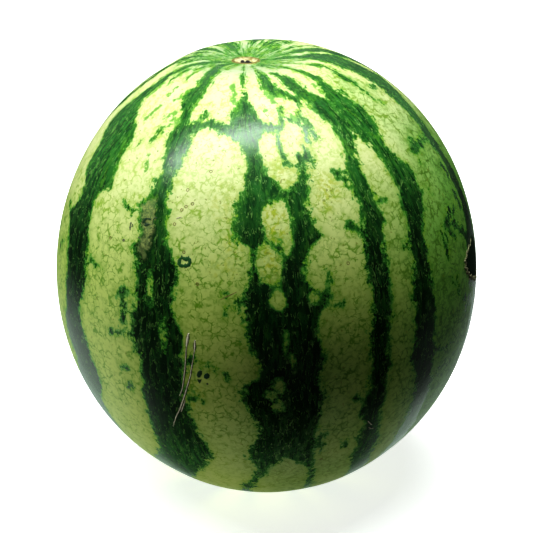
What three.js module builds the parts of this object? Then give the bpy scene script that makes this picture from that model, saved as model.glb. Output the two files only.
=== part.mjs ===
// A whole striped watermelon standing on its end.
// Units are millimetres, +Z is up and the origin is the centre of the small flat spot it rests on.
// The fruit grew as one piece, so it is one closed mesh: an upright spheroid with a level,
// slightly sunken crown, an oval corky scar on it, very faint lobes and a flat spot below.
import * as THREE from 'three';

// --- driving dimensions -------------------------------------------------------------------
const EQUATOR_RADIUS = 125;      // half of the 250 mm width
const POLE_RADIUS = 136.7;       // half height of the spheroid before crown and foot are formed
const FOOT_RADIUS = 22;          // flat spot that the fruit rests on
const SCAR_LEAN = THREE.MathUtils.degToRad(5.5); // the scar sits this far off the top, towards -X

const CROWN_RADIUS = 56;         // reach of the levelled crown round the scar
const CROWN_DROP = 7.7;          // how far the level crown lies below the spheroid there

const SCAR_HALF_WIDTH = 8.3;     // oval corky scar, measured to the outside of its lip
const SCAR_HALF_DEPTH = 7.0;
const LIP_HEIGHT = 0.9;          // corky lip standing above the skin
const LIP_WIDTH = 1.1;
const DISH_DEPTH = 0.6;          // sunken middle of the scar
const PITS = [                   // small holes in the middle of the scar: x, y, radius, depth
  [-1.9, 0.5, 1.0, 1.8],
  [0.9, -0.2, 1.3, 2.2],
  [2.2, -1.1, 0.9, 1.5],
];

const LOBES = 10;                // faint lengthways swellings, one for each broad light band
const LOBE_HEIGHT = 0.35;
const SWELL_HEIGHT = 0.5;        // slow unevenness of a thing that grew

// --- mesh density -------------------------------------------------------------------------
const COLUMNS = 72;              // steps round the fruit
const FINE_STEP = 0.9;           // ring spacing on the scar
const COARSE_STEP = 9;           // ring spacing on the flanks
const STEP_GROWTH = 1.2;
const FINE_REACH = 1.3 * SCAR_HALF_WIDTH;

const footAngle = Math.PI - Math.asin(FOOT_RADIUS / EQUATOR_RADIUS);
const footDepth = POLE_RADIUS * Math.abs(Math.cos(footAngle));

const smooth = (t) => t * t * (3 - 2 * t);
const bump = (distance, width) => Math.exp(-((distance / width) ** 2));

/** Angles of the rings, counted from the scar down to the foot, close together on the scar. */
function ringAngles() {
  const angles = [];
  let step = FINE_STEP;
  for (let reach = FINE_STEP; reach < POLE_RADIUS * footAngle; reach += step) {
    angles.push(reach / POLE_RADIUS);
    if (reach > FINE_REACH) step = Math.min(step * STEP_GROWTH, COARSE_STEP);
  }
  const stretch = footAngle / angles[angles.length - 1];
  return angles.map((angle) => angle * THREE.MathUtils.lerp(1, stretch, angle / footAngle));
}

/** Unit direction of a skin point; the upper half is turned so that the scar leans to -X. */
function skinDirection(polar, turn) {
  const direction = new THREE.Vector3(
    Math.sin(polar) * Math.sin(turn),
    -Math.sin(polar) * Math.cos(turn),
    Math.cos(polar),
  );
  const lean = SCAR_LEAN * smooth((1 + Math.cos(polar)) / 2);
  return direction.applyAxisAngle(new THREE.Vector3(0, 1, 0), -lean);
}

/** Point on the plain spheroid. */
function spheroidPoint(polar, turn) {
  return skinDirection(polar, turn).multiply(
    new THREE.Vector3(EQUATOR_RADIUS, EQUATOR_RADIUS, POLE_RADIUS),
  );
}

/** Height of the scar's lip, dish and pits at a place measured from the scar's centre. */
function scarRelief(x, y) {
  const oval = Math.hypot(x / SCAR_HALF_WIDTH, y / SCAR_HALF_DEPTH);
  const lipRadius = SCAR_HALF_WIDTH - LIP_WIDTH;
  const lip = LIP_HEIGHT * bump(oval * SCAR_HALF_WIDTH - lipRadius, LIP_WIDTH);
  const dish = DISH_DEPTH * bump(oval, 0.6);
  const pits = PITS.reduce(
    (sum, [pitX, pitY, radius, depth]) => sum + depth * bump(Math.hypot(x - pitX, y - pitY), radius),
    0,
  );
  return lip - dish - pits;
}

/** Faint lobes and slow unevenness, fading out at the scar and at the foot. */
function growthRelief(polar, turn) {
  const fade = Math.sin(polar) ** 2;
  const lobes = LOBE_HEIGHT * Math.cos(LOBES * turn + 0.4 * Math.sin(2 * polar));
  const swell = SWELL_HEIGHT * Math.sin(2 * turn + 1.1) * Math.cos(1.5 * polar);
  return fade * (lobes + swell);
}

const scarCentre = spheroidPoint(0, 0);
const crownLevel = scarCentre.z - CROWN_DROP;

/** Finished skin point, with the origin at the foot. */
function skinPoint(polar, turn) {
  const point = spheroidPoint(polar, turn);
  const outward = new THREE.Vector3(
    point.x / EQUATOR_RADIUS ** 2,
    point.y / EQUATOR_RADIUS ** 2,
    point.z / POLE_RADIUS ** 2,
  ).normalize();
  const x = point.x - scarCentre.x;
  const y = point.y - scarCentre.y;
  point.addScaledVector(outward, growthRelief(polar, turn));
  if (point.z > 0) {
    const reach = Math.min(1, Math.hypot(x, y) / CROWN_RADIUS);
    point.z = THREE.MathUtils.lerp(point.z, crownLevel, (1 - reach ** 2) ** 2) + scarRelief(x, y);
  }
  point.z = Math.max(0, point.z + footDepth);
  return point;
}

/** The whole fruit as one closed mesh: scar point, rings, and the centre of the flat spot. */
function watermelonGeometry() {
  const angles = ringAngles();
  const positions = [...skinPoint(0, 0).toArray()];
  const triangles = [];
  angles.forEach((polar, ring) => {
    const last = ring === angles.length - 1;
    for (let column = 0; column < COLUMNS; column += 1) {
      const point = skinPoint(polar, (2 * Math.PI * column) / COLUMNS);
      positions.push(point.x, point.y, last ? 0 : point.z);
    }
  });
  const foot = positions.length / 3;
  positions.push(0, 0, 0);

  const vertex = (ring, column) => 1 + ring * COLUMNS + (column % COLUMNS);
  for (let column = 0; column < COLUMNS; column += 1) {
    triangles.push(0, vertex(0, column), vertex(0, column + 1));
    for (let ring = 0; ring < angles.length - 1; ring += 1) {
      const [a, b] = [vertex(ring, column), vertex(ring, column + 1)];
      const [c, d] = [vertex(ring + 1, column), vertex(ring + 1, column + 1)];
      triangles.push(a, c, d, a, d, b);
    }
    triangles.push(foot, vertex(angles.length - 1, column + 1), vertex(angles.length - 1, column));
  }

  const geometry = new THREE.BufferGeometry();
  geometry.setAttribute('position', new THREE.Float32BufferAttribute(positions, 3));
  geometry.setIndex(triangles);
  geometry.computeVertexNormals();
  return geometry;
}

const rind = new THREE.MeshStandardMaterial({ color: 0x7fa650, roughness: 0.38, metalness: 0 });
const watermelon = new THREE.Mesh(watermelonGeometry(), rind);
watermelon.name = 'watermelon';

const part = new THREE.Group();
part.add(watermelon);

export default part;
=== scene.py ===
# %% [markdown]
# # A striped watermelon, standing on its end
# The fruit is one grown thing: a nearly round skin, pale green, with ragged dark bands that run
# from the corky scar on the crown down to the foot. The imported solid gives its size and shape.
# Here we build a much denser skin on the same formulas, so that it can carry the markings, and
# give it a waxy finish made only of procedural nodes.

# %% Load the frame
import math

import bpy
import numpy as np
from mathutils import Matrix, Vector, noise


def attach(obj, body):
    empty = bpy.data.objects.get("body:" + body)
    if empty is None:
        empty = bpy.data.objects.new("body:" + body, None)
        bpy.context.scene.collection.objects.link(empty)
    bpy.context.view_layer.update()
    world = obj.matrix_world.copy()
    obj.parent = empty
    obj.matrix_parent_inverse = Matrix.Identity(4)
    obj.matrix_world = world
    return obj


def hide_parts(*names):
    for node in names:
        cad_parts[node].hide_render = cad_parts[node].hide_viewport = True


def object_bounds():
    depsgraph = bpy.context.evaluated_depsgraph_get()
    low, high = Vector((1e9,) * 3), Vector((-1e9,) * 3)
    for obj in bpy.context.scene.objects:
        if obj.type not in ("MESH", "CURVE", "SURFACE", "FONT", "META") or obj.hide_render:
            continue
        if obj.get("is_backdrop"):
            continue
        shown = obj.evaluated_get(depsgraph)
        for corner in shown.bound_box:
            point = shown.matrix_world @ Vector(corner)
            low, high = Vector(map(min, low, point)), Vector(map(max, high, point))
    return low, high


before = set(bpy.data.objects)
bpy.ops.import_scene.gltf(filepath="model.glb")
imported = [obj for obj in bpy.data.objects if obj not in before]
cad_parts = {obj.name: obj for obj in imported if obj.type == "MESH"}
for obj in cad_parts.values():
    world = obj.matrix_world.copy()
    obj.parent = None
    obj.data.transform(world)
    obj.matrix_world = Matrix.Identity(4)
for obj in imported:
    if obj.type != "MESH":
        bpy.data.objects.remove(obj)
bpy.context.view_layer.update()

# %% [markdown]
# ## The shape of the skin
# A watermelon is a sphere that grew a little longer than wide. Its crown is levelled and slightly
# sunk round the corky scar, and its foot has a small flat spot. A sculpted sphere would never
# agree with the solid, so the same formulas are repeated here, in millimetres, and only worked
# out on far more points. A place on the skin is given by its turn, which counts from the front
# towards the right, and its polar angle, which counts from the scar.

# %% Driving dimensions
EQUATOR_RADIUS = 125.0
POLE_RADIUS = 136.7
FOOT_RADIUS = 22.0
SCAR_LEAN = math.radians(5.5)
CROWN_RADIUS = 56.0
CROWN_DROP = 7.7
SCAR_HALF_WIDTH = 8.3
SCAR_HALF_DEPTH = 7.0
LIP_HEIGHT = 0.9
LIP_WIDTH = 1.1
DISH_DEPTH = 0.6
PITS = [(-1.9, 0.5, 1.0, 1.8), (0.9, -0.2, 1.3, 2.2), (2.2, -1.1, 0.9, 1.5)]
LOBES = 10
LOBE_HEIGHT = 0.35
SWELL_HEIGHT = 0.5
MILLIMETRE = 0.001

foot_angle = math.pi - math.asin(FOOT_RADIUS / EQUATOR_RADIUS)
foot_depth = POLE_RADIUS * abs(math.cos(foot_angle))
print(f"the middle of the fruit is {foot_depth:.1f} mm above the foot")


# %% The skin formulas
def soft_step(value):
    value = np.clip(value, 0, 1)
    return value * value * (3 - 2 * value)


def hump(distance, width):
    return np.exp(-((distance / width) ** 2))


def spheroid_points(polar, turn):
    """Points of the plain spheroid, its upper half turned so that the scar leans to -X."""
    x = np.sin(polar) * np.sin(turn)
    y = -np.sin(polar) * np.cos(turn)
    z = np.cos(polar) + 0 * turn
    lean = -SCAR_LEAN * soft_step((1 + np.cos(polar)) / 2)
    leaned = [x * np.cos(lean) + z * np.sin(lean), y, z * np.cos(lean) - x * np.sin(lean)]
    return np.stack(leaned, -1) * (EQUATOR_RADIUS, EQUATOR_RADIUS, POLE_RADIUS)


def growth_relief(polar, turn):
    """Faint lobes and slow unevenness, fading out at the scar and at the foot."""
    lobes = LOBE_HEIGHT * np.cos(LOBES * turn + 0.4 * np.sin(2 * polar))
    swell = SWELL_HEIGHT * np.sin(2 * turn + 1.1) * np.cos(1.5 * polar)
    return np.sin(polar) ** 2 * (lobes + swell)


def scar_relief(x, y):
    """Height of the scar's lip, dish and pits, measured from the scar's centre."""
    oval = np.hypot(x / SCAR_HALF_WIDTH, y / SCAR_HALF_DEPTH)
    height = LIP_HEIGHT * hump(oval * SCAR_HALF_WIDTH - SCAR_HALF_WIDTH + LIP_WIDTH, LIP_WIDTH)
    height = height - DISH_DEPTH * hump(oval, 0.6)
    for pit_x, pit_y, radius, depth in PITS:
        height = height - depth * hump(np.hypot(x - pit_x, y - pit_y), radius)
    return height


scar_centre = spheroid_points(np.float64(0), np.float64(0))
crown_level = scar_centre[2] - CROWN_DROP


def skin_points(polar, turn):
    """Finished skin points in millimetres, with the origin at the foot."""
    points = spheroid_points(polar, turn)
    outward = points / np.array([EQUATOR_RADIUS, EQUATOR_RADIUS, POLE_RADIUS]) ** 2
    outward /= np.linalg.norm(outward, axis=-1, keepdims=True)
    x = points[..., 0] - scar_centre[0]
    y = points[..., 1] - scar_centre[1]
    points = points + outward * growth_relief(polar, turn)[..., None]
    reach = np.minimum(1, np.hypot(x, y) / CROWN_RADIUS)
    levelled = points[..., 2] + (crown_level - points[..., 2]) * (1 - reach**2) ** 2
    upper = points[..., 2] > 0
    height = np.where(upper, levelled + scar_relief(x, y), points[..., 2])
    points[..., 2] = np.maximum(0, height + foot_depth)
    return points


print("top of the scar's lip, mm:", round(float(crown_level + LIP_HEIGHT + foot_depth), 1))

# %% [markdown]
# ## A dense skin mesh
# The markings are stored on the mesh's own points, so the points must lie closer together than
# the marks are wide: about 2 mm apart on the flanks and a third of a millimetre on the scar.
# A subdivided sphere would spend as many points on the foot as on the scar. A grid of rings and
# columns lets the ring spacing grow away from the scar.

# %% The rings and columns
COLUMNS = 384
FINE_STEP = 0.34
COARSE_STEP = 2.05
STEP_GROWTH = 1.06
FINE_REACH = 1.25 * SCAR_HALF_WIDTH


def ring_angles():
    """Polar angles of the rings from the scar to the foot, close together on the scar."""
    angles = []
    step = FINE_STEP
    reach = FINE_STEP
    while reach < POLE_RADIUS * foot_angle:
        angles.append(reach / POLE_RADIUS)
        if reach > FINE_REACH:
            step = min(step * STEP_GROWTH, COARSE_STEP)
        reach += step
    angles = np.array(angles)
    stretch = foot_angle / angles[-1]
    return angles * (1 + (stretch - 1) * angles / foot_angle)


rings = ring_angles()
polar_grid, turn_grid = np.meshgrid(rings, np.arange(COLUMNS) * 2 * np.pi / COLUMNS, indexing="ij")
print(f"{len(rings)} rings of {COLUMNS} points")


# %% Build the skin
def cork_grain(x, y, size):
    """Small even roughness of cork, between -1 and 1, for each pair of x and y."""
    flat = [noise.noise(Vector((a / size, b / size, 0.0))) for a, b in zip(x.ravel(), y.ravel())]
    return np.array(flat).reshape(x.shape)


CORK_ROUGHNESS = 0.16
CORK_GRAIN = 0.9
FINE_CORK_GRAIN = 0.4
FINE_CORK_SHARE = 0.6


def build_skin():
    grid = skin_points(polar_grid, turn_grid)
    x = grid[..., 0] - scar_centre[0]
    y = grid[..., 1] - scar_centre[1]
    oval = np.hypot(x / SCAR_HALF_WIDTH, y / SCAR_HALF_DEPTH)
    on_scar = (oval < 1.3) & (polar_grid < 0.2)
    coarse = cork_grain(x[on_scar], y[on_scar], CORK_GRAIN)
    fine = cork_grain(x[on_scar], y[on_scar], FINE_CORK_GRAIN)
    rough = CORK_ROUGHNESS * (coarse + FINE_CORK_SHARE * fine)
    grid[on_scar, 2] += rough * soft_step((1.25 - oval[on_scar]) / 0.3)
    grid[-1, :, 2] = 0
    top = skin_points(np.zeros(1), np.zeros(1))
    points = np.concatenate([top, grid.reshape(-1, 3), [[0, 0, 0]]]) * MILLIMETRE
    foot = len(points) - 1

    def at(ring, column):
        return 1 + ring * COLUMNS + column % COLUMNS

    faces = []
    for column in range(COLUMNS):
        faces.append((0, at(0, column), at(0, column + 1)))
        for ring in range(len(rings) - 1):
            lower = (at(ring + 1, column), at(ring + 1, column + 1))
            faces.append((at(ring, column), *lower, at(ring, column + 1)))
        faces.append((foot, at(len(rings) - 1, column + 1), at(len(rings) - 1, column)))
    mesh = bpy.data.meshes.new("watermelon_skin")
    mesh.from_pydata(points.tolist(), [], faces)
    mesh.polygons.foreach_set("use_smooth", np.ones(len(faces), bool))
    skin = bpy.data.objects.new("watermelon_skin", mesh)
    bpy.context.collection.objects.link(skin)
    return skin


skin = build_skin()
print(f"{sum(len(face.vertices) - 2 for face in skin.data.polygons)} triangles")

# %% [markdown]
# ## Where the dark bands run
# On the fruit the bands follow the veins below the skin, so each one swells, pinches and sends
# out arms. Stretched noise gives stripes that all look alike. We write each band as an outline
# instead: at some heights, in degrees above the equator, the turns of its left and right edge.
# From these we work out how deep every skin point lies inside a band, in millimetres. That one
# number is stored on the mesh, and the finish roughens its zero line.

# %% Outlines of the bands that face the front
BANDS = {
    "far_left": [
        (86, -85, -70), (80, -84, -70), (76, -83, -72), (70, -83.5, -76), (65, -84, -75),
        (60, -84.5, -75), (56, -86, -69), (52, -88, -59), (48, -86, -57), (44, -79, -57),
        (38, -77, -56), (35.5, -76, -55), (33, -70.5, -60), (28, -71, -61), (24, -76, -59.5),
        (21, -72, -58), (14, -69, -57), (7, -68.5, -57), (2, -68, -60), (-3, -70, -58.5),
        (-9, -70, -57), (-14, -68, -54.5), (-19, -70, -54.5), (-24, -74, -59), (-30, -73, -61),
        (-38, -70, -61), (-50, -74, -63), (-65, -76, -62), (-85, -80, -60),
    ],
    "left": [
        (87, -72, -48), (82, -66, -42), (78, -52, -34), (74, -45, -32), (70, -42, -29.5),
        (66, -43, -30.5), (63, -41, -32), (60, -36.5, -32), (57, -36, -30), (53, -37.5, -27),
        (49, -36, -26), (45, -34.3, -27.6), (42, -34.6, -28.5), (40, -36, -28.7), (38, -36, -29.6),
        (36, -37.4, -29.3), (34, -39.3, -28), (31.5, -39, -28), (28.3, -37, -27.5), (25.5, -36.5, -26.8),
        (24, -38.5, -26.2), (22, -38.3, -24.8), (20, -36.5, -23.8), (17, -36.4, -23.2), (15, -36.3, -24.6),
        (11, -36.2, -24.8), (8, -36.8, -24.3), (5, -37.6, -22.5), (0, -37.3, -21.6), (-5, -35.5, -22.6),
        (-12, -35.5, -23.5), (-17, -36, -22.6), (-22, -36.5, -21.6), (-28, -36.5, -20), (-32, -37, -18),
        (-36, -38.5, -19.5), (-41, -43, -22.5), (-46, -50, -27.5), (-51, -54, -33.5), (-58, -57, -40),
        (-70, -58, -44), (-85, -60, -46),
    ],
    "front_left": [
        (87, -14, -2), (82, -6, -1), (77, -6, -1.8), (73, -4.5, -1.5), (69, -3, -1),
        (65, -3.5, -0.3), (62, -6.5, 2), (59, -9, 4.5), (56, -11, 6.5), (53.5, -9, 6),
        (51, -3.5, 2.8), (46, -1.7, 3.4), (42, -2, 5.4), (40, -2.7, 7.5), (38, -4, 9), (36, -5.6, 10),
        (34, -6, 10), (31, -6.8, 9), (28.5, -7.1, 8), (26.5, -6, 8), (25, -3, 8), (23.5, -2.3, 8),
        (20, -2.8, 8), (17.5, -3.1, 8), (16, -4.2, 8), (14, -5.1, 8), (8, -5.4, 8), (3, -5.4, 8),
        (0, -4.7, 8), (-4, -1.9, 8), (-7, -3, 8), (-10, -6.6, 8), (-14, -6.8, 8), (-18, -4.8, 8),
        (-22, -3, 8), (-25, -2.8, 8), (-29, -5, 8), (-32, -6, 7), (-34.3, -6.1, 5.6),
        (-37, -5.3, 3.2), (-40.5, -4, 0.8), (-44, -4.8, -1.5), (-46, -5.8, -3), (-50, -9, -5.5),
        (-54, -11, -7), (-58, -13, -9), (-70, -18, -12), (-85, -26, -14),
    ],
    "front_right": [
        (46, 16.6, 19), (42, 16, 18.3), (40, 14.5, 18), (38, 9, 17.7), (36, 5, 17.2), (34, 5, 16),
        (31.5, 5, 15.3), (30, 5, 16.3), (28.5, 5, 17.2), (27, 5, 18), (25.5, 5, 18.6), (24, 5, 15.4),
        (22.5, 5, 13.3), (20, 5, 12.2), (17.5, 5, 11.8), (15.5, 5, 12), (14, 5, 12.6), (12.5, 4, 15.2),
        (11, 4, 17.4), (9.5, 4, 17.6), (8, 4, 15), (4, 4, 13.6), (0, 4, 14.4), (-3, 4, 15.5), (-6, 4, 14.6),
        (-9, 4, 13.4), (-13, 4, 15.6), (-18, 4, 15), (-23, 4, 14.5), (-28, 4, 14.4), (-31, 4.5, 14.6),
        (-34.3, 5.6, 14.8), (-36, 8.6, 15.2), (-38, 12, 15.8), (-42.5, 15, 17), (-48, 16.7, 18.8),
        (-54, 18, 21), (-60, 20.5, 25), (-72, 24, 31), (-85, 26, 36),
    ],
    "crown_right": [
        (88, 30, 46), (84, 12, 20), (80, 13, 18), (76, 11, 19), (72, 10.5, 20),
        (68, 11, 20), (66, 15, 19), (64.5, 16, 18),
    ],
    "right_inner": [
        (75, 25, 30), (71, 26.5, 34), (69, 26.5, 35), (66, 28, 36.6), (62.5, 30.4, 38), (60.5, 32, 41),
        (59, 32.6, 45), (56, 33.5, 45), (52, 35.1, 45), (47, 35.6, 44), (45, 35.2, 41.2), (42.5, 34.3, 39),
        (40, 33, 38), (37, 32, 37.8), (34, 31.8, 37.9), (32, 32, 38.8), (31, 32, 40.2), (28, 31.2, 41),
        (26, 30.6, 40.2), (23.5, 30.3, 36.9), (20, 29.8, 36), (15, 29.3, 35.7), (10, 29.5, 35.2),
        (5, 29.5, 34.8), (1, 27.5, 34.3), (-4, 27.8, 33.8), (-8, 28.6, 34.3), (-11, 27.3, 34.8),
        (-15, 28.6, 34.2), (-19, 26.8, 34.2), (-21, 26.3, 33.8), (-25, 29, 34.2), (-30, 28.8, 36),
        (-35, 29.2, 38.5), (-40, 29.8, 39.5), (-44, 33, 41.5), (-50, 36, 45), (-56, 41, 49),
        (-70, 46, 55), (-85, 50, 62),
    ],
    "right": [
        (88, 52, 70), (84, 43, 54), (79, 44.5, 50), (74, 46.5, 50), (69, 47.5, 52), (65, 49, 54),
        (62, 46.5, 54), (59, 43, 54.5), (55, 42, 55.5), (50, 41, 58), (47, 43, 56),
        (44, 46, 53.2), (40, 47, 53), (35, 48, 56.5), (31, 47.5, 57.5), (27, 46.5, 57),
        (22, 46, 53.5), (18, 44, 51), (14, 45, 51), (10, 43.5, 51), (7, 42, 50.5), (2, 43, 51),
        (-3, 42, 51), (-7, 43, 50.5), (-10, 40.5, 52), (-14, 44, 52), (-20, 46, 54),
        (-28, 47, 55), (-36, 48, 58), (-44, 50, 58), (-56, 53, 62), (-70, 58, 68), (-85, 66, 78),
    ],
    "far_right": [
        (88, 90, 112), (82, 82, 100), (76, 79, 92), (72, 78, 96), (66, 79, 100), (61, 81.5, 102),
        (55, 84, 102), (50, 82, 99), (44, 81.5, 92), (39, 79.5, 88), (35, 77.5, 85.5),
        (30, 78.5, 84.5), (24, 77, 85), (18, 77.5, 85), (13, 75, 85), (9, 71, 84), (5, 69, 84),
        (1, 71, 83), (-3, 74, 82), (-10, 73, 81), (-20, 74, 82), (-32, 76, 86), (-46, 80, 89),
        (-60, 84, 94), (-85, 90, 104),
    ],
}
print(f"{len(BANDS)} bands outlined by hand")

# %% [markdown]
# ## The bands behind
# The hidden half has six more bands of the same kind. Each starts from a centre turn at the
# crown and one at the equator, and a seeded draw makes it wander and change its width.

# %% Bands of the hidden side
BACK_BANDS = {"back_1": (108, 112), "back_2": (152, 141), "back_3": (176, 169), "back_4": (198, 199),
              "back_5": (226, 228), "back_6": (256, 250)}
chance = np.random.RandomState(41)


def wandering_band(crown_turn, flank_turn):
    """An outline whose middle wanders and whose width swells and pinches down the fruit."""
    rows = []
    phases = chance.uniform(0, 2 * np.pi, 5)
    for rise in range(87, -88, -4):
        towards_crown = soft_step((rise - 45) / 40)
        middle = flank_turn + (crown_turn - flank_turn) * towards_crown
        middle += 2.4 * np.sin(rise / 17 + phases[0]) + 1.1 * np.sin(rise / 6.5 + phases[1])
        half_width = 5.0 + 1.9 * np.sin(rise / 14 + phases[2]) + 1.2 * np.sin(rise / 5.2 + phases[3])
        half_width += chance.uniform(-0.9, 0.9)
        side = 1.3 * np.sin(rise / 8 + phases[4])
        rows.append((rise, middle - half_width + side, middle + half_width + side))
    return rows


for name, (crown_turn, flank_turn) in BACK_BANDS.items():
    BANDS[name] = wandering_band(crown_turn, flank_turn)
print(f"{len(BANDS)} bands in all")

# %% [markdown]
# ## Light holes and dark arms
# Some places inside the bands stayed light, and short dark arms and blots lie in the light
# ground. A hole is an oval: its turn, rise, half width and half height in degrees, and its lean.
# An arm is a straight stroke from one place to another, with its half width in millimetres.

# %% Light holes in the bands and dark arms in the ground
HOLES = [
    (10.9, 45.8, 5.9, 8.4, -6), (5.9, 30.6, 4.5, 5.5, 8), (2.3, 20.6, 3.7, 4.9, -6), (8, 25.5, 1.6, 2.6, 0),
    (3.8, 12.2, 2.1, 2.4, 0), (13.5, 11.5, 1.5, 1.2, 0), (2.9, -9.6, 1.7, 1.8, 0),
    (1.0, -12.2, 1.5, 1.2, 0), (2.8, -16, 1.3, 1.5, -20), (5, 1.2, 0.5, 2.0, 0), (6.8, -3.5, 0.5, 1.5, 0),
    (42.6, 33, 4.9, 12, 2), (-27.5, 3.5, 0.6, 2.0, 0), (-31.4, 14.5, 0.6, 2.2, 0), (41, 22, 1.6, 1.6, 0),
]
ARMS = [
    (-33, 54.5, -27, 56.2, 4.0), (-27, 56.2, -18.4, 57.2, 2.7), (-18.4, 57.2, -12.8, 56.3, 3.0),
    (-12.8, 56.3, -9, 56, 3.6), (-24, 58.5, -22.5, 60, 1.4), (20, 66.5, 28, 61.5, 1.8),
    (5, 55.7, 9.9, 54.6, 2.6), (9.9, 54.6, 14.8, 54.4, 1.8), (15, 54.7, 15.7, 56.5, 1.5),
    (15.7, 56.5, 17.5, 60.3, 0.9), (16.6, 57.6, 19.4, 56.1, 0.8), (19.4, 56.1, 21.9, 54.8, 0.8),
    (22.6, 54.7, 25.1, 57.9, 1.3), (25.1, 57.9, 28.2, 60.2, 1), (24.7, 56.5, 25.5, 53.2, 1.3),
    (25.5, 53.2, 27, 49.7, 0.8), (12.1, 53.8, 11.5, 49.6, 0.8), (11.5, 49.6, 11.8, 46.4, 0.7),
    (11.8, 46.4, 11.9, 44.6, 0.9), (12, 44.8, 14.7, 43.6, 0.7), (14.7, 43.6, 16.5, 42.3, 0.8),
    (16.5, 42.3, 16.9, 39.9, 1.2), (24.7, 53.7, 22.7, 49.4, 0.9), (22.7, 49.4, 20.5, 45.9, 1),
    (20.5, 45.9, 17.7, 42.9, 1.6), (17.7, 42.9, 16.9, 40.4, 1.6), (21.5, 46.7, 21.5, 42.3, 0.6),
    (27.6, 39.7, 32, 38.6, 1.3), (28.4, 37.8, 32, 36.2, 1.3), (29.6, 36.2, 32, 34.8, 1.0),
    (27, 26.6, 31, 23.6, 1.6), (-45, 0.5, -37, 1.5, 1.3),
    (-57, 17, -50, 16, 1.0), (-42, 11, -39, 12, 1.8), (-40, 9, -40.5, 4, 1.8),
    (-42, -9, -40, -8.5, 1.4), (-40.5, -13, -41, -15, 1.2), (64, 36, 79, 36.5, 2.3),
    (67, 38, 69, 36, 2.6), (64, 35, 64, 33, 0.8), (62, 17, 66, 19, 2.5), (66, 18, 71, 19, 2.2),
    (68, 15, 74, 10, 1.6), (63, 15, 66, 13, 1.0), (59, 16, 59.2, 10, 1.2),
    (71, 67.5, 70, 65, 1.4), (70, 65, 68.5, 58.5, 2.2), (68.5, 58.5, 70, 50, 0.8), (67, 71, 69, 69, 2.0),
    (75.5, 28.5, 76.5, 26, 2.2), (74.5, 21, 75, 18, 2.6), (60.3, 27.5, 60.6, 26, 1.0),
    (67, -2, 73, -4, 2.6), (68, -5, 71, -5, 2.0), (60, 4, 62, 1.5, 1.2), (55.5, 60, 56, 52, 1.4),
    (77, 55, 80, 54, 1.8), (53, -11, 60, -11.5, 1.4), (57, -16, 54, -20, 1.2),
    (17.8, 17, 18, 14.5, 1.0), (16.5, 12, 17.5, 11, 1.6),
    (18, 9, 21, 8.5, 0.7), (43, 18, 44.5, 18, 1.3),
    (36.5, 34, 37.8, 31, 1.4), (17, -27.5, 17.3, -26.5, 1.2), (24, -30, 25, -33, 1.3),
    (16, -30, 17, -34, 1.5), (14.5, -27.5, 17.5, -27, 1.3), (37, 30, 41.5, 29.5, 1.6),
    (-6.5, 13, -6.3, 11, 1.4), (-10, 9, -9.5, 14, 0.5),
    (-9.5, 14, -12, 13, 0.5), (-46, 33, -41, 32, 0.9), (29, 2, 27.5, 1, 1.2),
    (24, -16, 30, -20, 1.1), (30, -20, 33, -23, 1.2), (-77.5, 13.5, -74.5, 16.5, 1.0),
    (-79, 25.5, -70, 22.5, 1.5), (-44, 54.7, -44, 52.9, 1.3), (-44.5, 52, -44.8, 50.5, 1.1),
    (-51, 50.4, -51.3, 49.6, 0.7), (66.5, 19.5, 66, 17, 2.6), (66, 17, 69.5, 13.6, 2.4),
    (69.5, 13.6, 74, 10.2, 2.4), (74, 10.2, 78, 6, 3.0), (63.5, 20, 62, 16.9, 1.2),
    (62, 16.9, 59.6, 10.5, 0.9), (62.6, 4.7, 62.5, 0.3, 1.0), (71.3, -0.5, 69.9, -5.5, 1.5),
    (-21, -3.4, -19.2, -3.3, 1.6), (-23.3, -12, -21, -14.5, 1.6), (-17.1, -5, -15.4, -4.3, 0.7),
    (-15.4, -4.3, -13.5, -5.4, 0.6), (-13.5, -5.4, -10.3, -7, 0.5), (-21.3, -13.5, -17.7, -14.9, 0.5),
]
BACK_FROM, BACK_TO = 96, 268
BACK_ARMS = 70
BACK_HOLES = 14
for _ in range(BACK_ARMS):
    turn, rise = chance.uniform(BACK_FROM, BACK_TO), chance.uniform(-60, 66)
    aside, up = chance.uniform(-6, 6), chance.uniform(-5, 5)
    ARMS.append((turn, rise, turn + aside, rise + up, chance.uniform(0.6, 2.2)))
for _ in range(BACK_HOLES):
    turn, rise = chance.uniform(BACK_FROM, BACK_TO), chance.uniform(-50, 60)
    half_width, half_height = chance.uniform(1.5, 3.2), chance.uniform(2.5, 7)
    HOLES.append((turn, rise, half_width, half_height, chance.uniform(-15, 15)))
print(f"{len(HOLES)} holes and {len(ARMS)} arms")

# %% [markdown]
# ## Thin streaks round the scar
# Close to the scar the bands split into many thin streaks that all point at it. At the front
# these are in the outlines and arms above. At the sides and the back a seeded draw places them.

# %% Draw the streaks round the scar
STREAK_GAP = 4.6
STREAK_START_RISE = 86.5
STREAKS = []
for turn in np.arange(38, 334, STREAK_GAP):
    outer_rise = chance.uniform(68, 81)
    outer_turn = turn + chance.uniform(-4, 4)
    inner_turn = turn + chance.uniform(-2.5, 2.5)
    half_width = chance.uniform(0.4, 1.3)
    STREAKS.append((inner_turn, STREAK_START_RISE, outer_turn, outer_rise, half_width))
print(f"{len(STREAKS)} streaks")

# %% [markdown]
# ## Depth inside the bands
# Every outline, hole and arm is turned into a signed distance in millimetres, plus inside the
# dark and minus in the light. Bands and arms add dark, so the largest value counts. Holes take
# it away, so there the smallest counts. Degrees of turn get shorter towards the crown, and the
# cosine of the rise allows for that.

# %% Work out the depth for every skin point
MM_PER_TURN_DEGREE = 2 * math.pi * EQUATOR_RADIUS / 360
MM_PER_RISE_DEGREE = 2.3
HOLE_STEEPNESS = 1.6
STREAK_WEIGHT = 0.8
OPEN_GROUND = -40.0
CROWN_RISE = 85
FOOT_RISE = -80


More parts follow.
